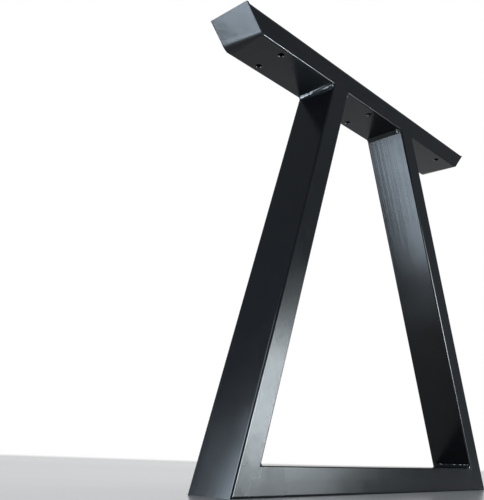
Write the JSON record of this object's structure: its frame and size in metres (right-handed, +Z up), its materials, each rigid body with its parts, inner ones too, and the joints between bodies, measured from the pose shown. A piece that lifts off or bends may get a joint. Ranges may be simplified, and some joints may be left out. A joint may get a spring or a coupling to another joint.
{
  "type": "table leg",
  "caption": "Trapezoid table leg welded from rectangular steel tube: splayed legs on a mitred floor rail, under a bevel-ended top rail drilled for table-top screws.",
  "frame": {"origin": "middle of the foot, on the floor", "axes": "+X along the rails, +Y through the frame from front to back, +Z up to the table top"},
  "size_m": [0.726, 0.08, 0.72],
  "materials": {
    "black_powder_coat": "satin"
  },
  "bodies": {
    "root": {"bottom_rail": "black_powder_coat", "left_end_plate": "black_powder_coat", "left_foot_weld": "black_powder_coat", "left_leg": "black_powder_coat", "left_leg_back_weld": "black_powder_coat", "left_leg_front_weld": "black_powder_coat", "left_leg_inner_weld": "black_powder_coat", "left_leg_outer_weld": "black_powder_coat", "right_end_plate": "black_powder_coat", "right_foot_weld": "black_powder_coat", "right_leg": "black_powder_coat", "right_leg_back_weld": "black_powder_coat", "right_leg_front_weld": "black_powder_coat", "right_leg_inner_weld": "black_powder_coat", "right_leg_outer_weld": "black_powder_coat", "top_rail": "black_powder_coat"}
  },
  "joints": []
}
